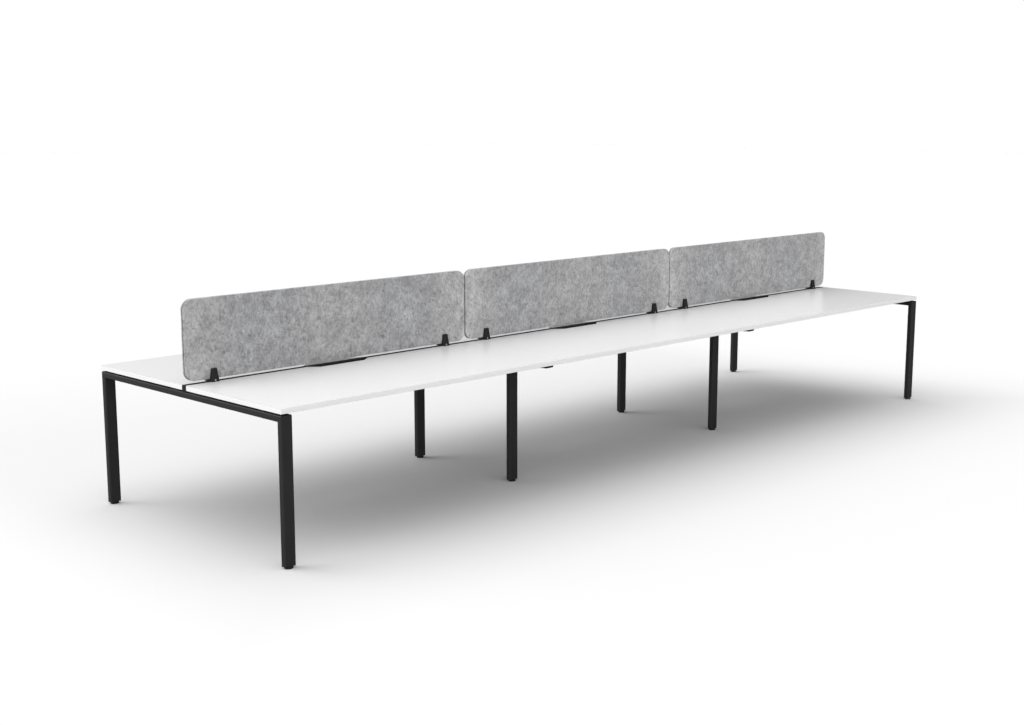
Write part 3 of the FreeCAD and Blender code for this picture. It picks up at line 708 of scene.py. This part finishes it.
# %% Model one foot
PAD_R, PAD_HIGH = 20 * MM, 8 * MM
COLLAR_R, COLLAR_HIGH = 9 * MM, 2 * MM
RIM_WIDE, RIM_STEP, RIM_DEEP = 3.5 * MM, 0.6 * MM, 0.5 * MM
HOLLOW_RIM, HOLLOW_STEP, HOLLOW_DEEP = 2.5 * MM, 0.8 * MM, 1.2 * MM
PAD_ROUND, PAD_ARRIS = 1.5 * MM, 0.4 * MM
STEM_R, STEM_TOOTH, STEM_PITCH, STEM_LONG = 4 * MM, 0.55 * MM, 1.25 * MM, 45 * MM

foot_low, foot_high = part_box("foot_left_end_front")
foot_axis = (foot_low + foot_high) / 2


def on_ring(edge, radius, height):
    """True where an edge lies on a circle about the foot's axis, at a height."""
    return all(near(((v.co.x - foot_axis.x) ** 2 + (v.co.y - foot_axis.y) ** 2) ** 0.5, radius)
               and near(v.co.z, height) for v in edge.verts)


pad = start_rod("foot_pad", PAD_R, PAD_HIGH, (foot_axis.x, foot_axis.y, PAD_HIGH / 2), sides=64)
pick("FACE", faces_up)
bpy.ops.mesh.inset(thickness=RIM_WIDE)
bpy.ops.mesh.inset(thickness=RIM_STEP, depth=-RIM_DEEP)
bpy.ops.mesh.inset(thickness=PAD_R - RIM_WIDE - 2 * RIM_STEP - COLLAR_R)
bpy.ops.mesh.inset(thickness=RIM_STEP, depth=RIM_DEEP)
bpy.ops.mesh.extrude_region_move(TRANSFORM_OT_translate={"value": (0, 0, COLLAR_HIGH)})
pick("FACE", faces_down)
bpy.ops.mesh.inset(thickness=HOLLOW_RIM)
bpy.ops.mesh.inset(thickness=HOLLOW_STEP, depth=-HOLLOW_DEEP)
pick("EDGE", lambda e: on_ring(e, PAD_R, PAD_HIGH))
bpy.ops.mesh.bevel(offset=PAD_ROUND, segments=4, affect="EDGES")
pick("EDGE", lambda e: on_ring(e, PAD_R, 0) or on_ring(e, COLLAR_R, PAD_HIGH + COLLAR_HIGH))
bpy.ops.mesh.bevel(offset=PAD_ARRIS, segments=2, affect="EDGES")
closed(pad, smooth_below=40)

upright = threaded_rod("foot_stem", STEM_R, STEM_TOOTH, STEM_PITCH, STEM_LONG)
stem = copied(upright, "foot_stem_placed", (foot_axis.x, foot_axis.y, PAD_HIGH + COLLAR_HIGH))
bpy.data.objects.remove(upright)
print("pad:", len(pad.data.polygons), "faces, stem:", len(stem.data.polygons), "faces")

# %% [markdown]
# The eight feet are the same, so the pad and the stem are copied, each copy with its own mesh.
# Both ride on the foot's own body, because they turn and rise together.

# %% Copy the feet under the legs
for place_name in [f"{f}_{row}" for f in FRAMES for row in ROWS]:
    low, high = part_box(f"foot_{place_name}")
    shift = (low + high) / 2 - foot_axis
    for model, label, key in ((pad, "foot_pad", "foot_plastic"), (stem, "foot_stem", "zinc_steel")):
        piece = copied(model, f"{label}_{place_name}", (shift.x, shift.y, 0))
        dress(piece, key, f"{place_name}_foot", f"foot_{place_name}")
for model in (pad, stem):
    bpy.data.objects.remove(model)
print("feet:", len(FRAMES) * len(ROWS))

# %% [markdown]
# ## The clamp jaws
# A screen clamp grips the felt between a fixed rear jaw, which belongs to its body, and a front
# jaw that one screw draws in. The jaw is a tapered block with rounded outer edges. The taper is
# made by shrinking the top face towards the flat side, which has to stay flat against the felt.
# The screw sits in a round recess low on the front.

# %% Model one front jaw
CLAMPS = 6
JAW_WIDE, JAW_TOP_WIDE = 46 * MM, 28 * MM
JAW_DEEP, JAW_TOP_DEEP = 18 * MM, 12 * MM
JAW_ROUND = 2.5 * MM
JAW_EASE = 0.5 * MM
SHARP = 40
DESK_TOP = 726 * MM
JAW_PLAY = 0.3 * MM
FELT_FACE = -12 * MM
SCREW_Z = DESK_TOP + 8 * MM
HEAD_R, HEAD_DEEP = 4.4 * MM, 2.6 * MM
SHANK_R = 2.5 * MM

jaw_low, jaw_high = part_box("clamp_jaw_1")
jaw_x = (jaw_low.x + jaw_high.x) / 2
jaw_flat = FELT_FACE - JAW_PLAY
jaw_face = jaw_flat - JAW_DEEP
jaw_foot = DESK_TOP + JAW_PLAY
print("jaw 1 at x", round(jaw_x, 4), "between y", round(jaw_face, 4), "and", round(jaw_flat, 4))

jaw = start_box("clamp_jaw_shell", (jaw_x - JAW_WIDE / 2, jaw_face, jaw_foot),
                (jaw_x + JAW_WIDE / 2, jaw_flat, jaw_high.z))
pick("FACE", faces_up)
bpy.ops.transform.resize(value=(JAW_TOP_WIDE / JAW_WIDE, JAW_TOP_DEEP / JAW_DEEP, 1),
                         center_override=(jaw_x, jaw_flat, jaw_high.z))
pick("EDGE", lambda e: max(v.co.y for v in e.verts) < jaw_flat - JAW_ROUND
     and max(v.co.z for v in e.verts) > jaw_foot + JAW_ROUND)
bpy.ops.mesh.bevel(offset=JAW_ROUND, segments=5, affect="EDGES")
pick("EDGE", lambda e: e.calc_face_angle(0) > radians(SHARP))
bpy.ops.mesh.bevel(offset=JAW_EASE, segments=2, affect="EDGES")
closed(jaw)

# %% Bore the jaw for its screw
SINK_PLAY = 0.25 * MM
OVERRUN = 5 * MM
ALONG_Y = (pi / 2, 0, 0)


def rod_along_y(name, radius, y0, y1, sides=40):
    """A rod about the screw's axis, between two places along Y."""
    rod = start_rod(name, radius, y1 - y0, (jaw_x, (y0 + y1) / 2, SCREW_Z), ALONG_Y, sides)
    bpy.ops.object.mode_set(mode="OBJECT")
    return rod


cut_with(jaw, rod_along_y("sink", HEAD_R + SINK_PLAY, jaw_face - OVERRUN, jaw_face + HEAD_DEEP))
cut_with(jaw, rod_along_y("bore", SHANK_R + SINK_PLAY, jaw_face - OVERRUN, jaw_flat + OVERRUN))
smoothed(jaw, 35)
print("jaw:", len(jaw.data.polygons), "faces")

# %% [markdown]
# The draw screw has a flat round head with a hexagon socket. The head is a short cylinder with a
# rounded rim, and a six-sided rod is cut out of it for the key. The threaded shank reaches through
# the jaw into the clamp's body.

# %% Model the draw screw
KEY, KEY_DEEP, KEY_OVERRUN = 3 * MM, 1.6 * MM, 1 * MM
HEAD_ROUND = 0.7 * MM
SHANK_TOOTH, SHANK_PITCH = 0.4 * MM, 0.8 * MM
TIP = 16 * MM
head_back = jaw_face + HEAD_DEEP

head_middle = (jaw_x, jaw_face + HEAD_DEEP / 2, SCREW_Z)
head = start_rod("draw_screw", HEAD_R, HEAD_DEEP, head_middle, ALONG_Y)
pick("EDGE", lambda e: all(near(v.co.y, jaw_face) for v in e.verts))
bpy.ops.mesh.bevel(offset=HEAD_ROUND, segments=4, affect="EDGES")
closed(head)
key_across = KEY / 2 / cos(pi / 6)
cut_with(head, rod_along_y("key", key_across, jaw_face - KEY_OVERRUN, jaw_face + KEY_DEEP, 6))
smoothed(head, 30)

upright = threaded_rod("shank", SHANK_R, SHANK_TOOTH, SHANK_PITCH, TIP - head_back, 16)
bpy.ops.object.mode_set(mode="EDIT")
bpy.ops.mesh.select_all(action="SELECT")
bpy.ops.transform.rotate(value=pi / 2, orient_axis="X", center_override=(0, 0, 0))
bpy.ops.object.mode_set(mode="OBJECT")
ends = [v.co.y for v in upright.data.vertices]
print("shank lies from y", round(min(ends), 4), "to", round(max(ends), 4))
shank = copied(upright, "shank_placed", (jaw_x, head_back - min(ends), SCREW_Z))
bpy.data.objects.remove(upright)
draw_screw = joined("draw_screw", head, shank)
print("draw screw:", len(draw_screw.data.polygons), "faces")

# %% Copy the jaws and their screws to the six clamps
for number in range(1, CLAMPS + 1):
    low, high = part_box(f"clamp_jaw_{number}")
    shift = ((low.x + high.x) / 2 - jaw_x, 0, 0)
    for model, label, key in ((jaw, "clamp_jaw_shell", "clamp_plastic"),
                              (draw_screw, "draw_screw", "zinc_steel")):
        piece = copied(model, f"{label}_{number}", shift)
        dress(piece, key, f"clamp_{number}_jaw", f"clamp_jaw_{number}")
for model in (jaw, draw_screw):
    bpy.data.objects.remove(model)
print("clamp jaws:", CLAMPS)

# %% [markdown]
# ## Floor and light
# The desks stand in a white studio with no horizon. The floor is one large plane, and the
# camera sees pure white behind it. The light is a dome of seven soft lobes: a ceiling, low glows
# from the front and both left corners, and high ones from the left, the rear and the corner
# between them. That corner light comes round the left end of the screens and fades along the
# tops, and the right end has no lobe, so the tops grow darker towards it. The strengths were found
# by rendering each lobe alone and adding the pictures. The floor shows pale to the camera but
# throws little light back up, as a darker floor round the set would, so the steel under the tops
# stays black.

# %% Lay the floor
FLOOR_SIZE = 120
FLOOR_SEEN = 0.62
FLOOR_FAR = 0.66
FLOOR_THROWN = 0.22
HALF_LENGTH, HALF_DEPTH = 2.7, 0.77
REAR_SLOPE, REAR_DROP = 0.25, 0.39
FADE_FROM, FADE_TO = 0.2, 0.8

bpy.ops.object.select_all(action="DESELECT")
bpy.ops.mesh.primitive_plane_add(size=FLOOR_SIZE, location=(0, 0, 0))
floor = bpy.context.object
floor.name = "studio_floor"
floor_paint, tree, shader, place = finish("studio_floor_paint", (FLOOR_SEEN,) * 3, 1.0, specular=0.0)
spot = split(tree, place)
# Painted shade: the floor is painted darker near and under the desks than farther out, and the darker
# band reaches farther behind them.
past_end = maths(tree, "SUBTRACT", maths(tree, "ABSOLUTE", spot["X"]), HALF_LENGTH)
past_front = maths(tree, "MULTIPLY_ADD", spot["Y"], -1.0, -HALF_DEPTH)
past_rear = maths(tree, "MULTIPLY_ADD", spot["Y"], REAR_SLOPE, -REAR_DROP)
away = maths(tree, "MAXIMUM", maths(tree, "MAXIMUM", past_end, past_front), past_rear)
paint = spread(tree, away, FADE_FROM, FADE_TO, FLOOR_SEEN, FLOOR_FAR)
seen = node(tree, "ShaderNodeLightPath").outputs["Is Camera Ray"]
tree.links.new(blended(tree, seen, (FLOOR_THROWN,) * 3, paint), shader["Base Color"])
floor.data.materials.append(floor_paint)
print("floor:", FLOOR_SIZE, "m across")

# %% Paint the dome
DOME = {
    "ceiling": ((0, 0, 1), 4, 2.60),
    "front_low": ((0, -1, 0), 6, 2.08),
    "front_left_low": ((-1, -1, 0), 8, 3.03),
    "left_high": ((-1, 0, 0.8), 4, 0.50),
    "rear_high": ((0, 1, 0.8), 4, 0.70),
    "rear_left_low": ((-1, 0.7, 0), 8, 0.37),
    "rear_left_high": ((-1, 1, 0.8), 12, 3.44),
}

world = bpy.data.worlds.new("studio")
bpy.context.scene.world = world
world.use_nodes = True
tree = world.node_tree
tree.nodes.clear()
looking = node(tree, "ShaderNodeTexCoord").outputs["Object"]
glow = 0.0
for name, (towards, power, strength) in DOME.items():
    lobe = node(tree, "ShaderNodeVectorMath", {"operation": "DOT_PRODUCT"}, i0=looking,
                i1=Vector(towards).normalized()).outputs["Value"]
    lobe = maths(tree, "POWER", maths(tree, "MAXIMUM", lobe, 0.0), power)
    glow = maths(tree, "MULTIPLY_ADD", lobe, strength, glow)
light = node(tree, "ShaderNodeBackground", None, Color=glow)
backdrop = node(tree, "ShaderNodeBackground", None, Color=(1, 1, 1, 1))
seen = node(tree, "ShaderNodeLightPath").outputs["Is Camera Ray"]
mixed = node(tree, "ShaderNodeMixShader", None, i0=seen, i1=light.outputs[0],
             i2=backdrop.outputs[0])
tree.links.new(mixed.outputs[0], node(tree, "ShaderNodeOutputWorld").inputs["Surface"])
print("dome:", ", ".join(DOME))
